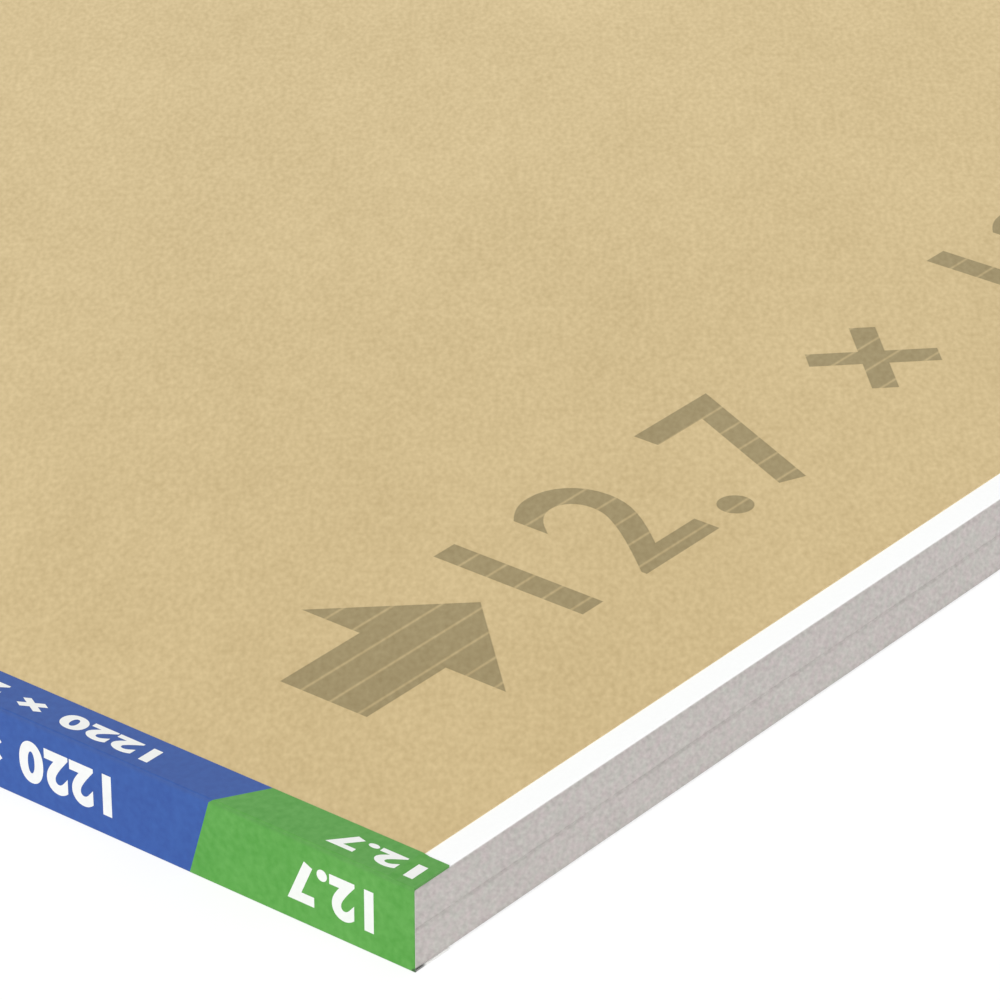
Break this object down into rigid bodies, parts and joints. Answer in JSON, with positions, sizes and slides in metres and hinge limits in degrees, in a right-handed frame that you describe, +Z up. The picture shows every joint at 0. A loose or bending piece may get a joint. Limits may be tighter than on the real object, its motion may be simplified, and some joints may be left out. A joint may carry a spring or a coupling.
{
  "type": "drywall sheet",
  "caption": "Full-size gypsum wallboard sheet lying back up: kraft back paper, ivory face paper wrapped round square long edges, printed tape folded over both cut ends",
  "frame": {"origin": "middle of the sheet's footprint, on the floor that the tape's lower laps rest on", "axes": "+X along the sheet's length, +Y across its width, +Z up out of the kraft back"},
  "size_m": [2.4404, 1.22, 0.0131],
  "materials": {
    "gypsum": "chalky matt gypsum plaster, off-white",
    "face_paper": "smooth matt ivory liner paper, greyer and speckled on the handled long edges",
    "back_paper": "matt tan kraft liner paper with faint fibre mottling",
    "end_tape": "satin printed paper tape, blue with a green length at the corners"
  },
  "bodies": {
    "root": {"gypsum_core": "gypsum", "face_paper": "face_paper", "back_paper": "back_paper", "left_end_tape": "end_tape", "right_end_tape": "end_tape"}
  },
  "joints": []
}
